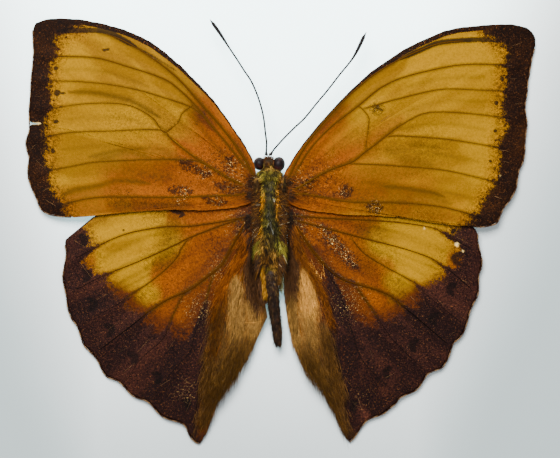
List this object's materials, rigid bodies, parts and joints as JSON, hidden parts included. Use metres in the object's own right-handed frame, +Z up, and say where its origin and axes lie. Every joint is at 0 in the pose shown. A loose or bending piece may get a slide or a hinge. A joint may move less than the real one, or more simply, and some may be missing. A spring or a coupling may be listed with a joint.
{
  "type": "spread butterfly specimen",
  "caption": "Dry butterfly with spread, gently arched wings, short hindwing tails, clubbed antennae and a hairy body, lying on its flat belly.",
  "frame": {"origin": "middle of the flat patch of belly under the thorax that the insect rests on", "axes": "+X to the insect's right wings as seen from above with the head up, +Y towards the head, +Z up out of the back"},
  "size_m": [0.0767, 0.0639, 0.0056],
  "materials": {
    "wing_ochre": "scaled membrane, golden ochre with a dark brown border, satin",
    "wing_brown": "scaled membrane, orange-brown and gold with a dark brown border, satin",
    "body_hair": "olive and brown hair, matt",
    "abdomen_brown": "dark brown segmented, short hair, matt",
    "eye_brown": "faceted, near black, glossy",
    "antenna_black": "ringed, black-brown, satin",
    "leg_brown": "horny, brown, satin"
  },
  "bodies": {
    "root": {"left_forewing": "wing_ochre", "right_forewing": "wing_ochre", "left_hindwing": "wing_brown", "right_hindwing": "wing_brown", "thorax": "body_hair", "head": "body_hair", "left_palp": "body_hair", "right_palp": "body_hair", "left_tegula": "body_hair", "right_tegula": "body_hair", "abdomen": "abdomen_brown", "left_eye": "eye_brown", "right_eye": "eye_brown", "left_antenna": "antenna_black", "right_antenna": "antenna_black", "proboscis": "leg_brown", "left_foreleg": "leg_brown", "right_foreleg": "leg_brown", "left_midleg": "leg_brown", "right_midleg": "leg_brown", "left_hindleg": "leg_brown", "right_hindleg": "leg_brown"}
  },
  "joints": []
}
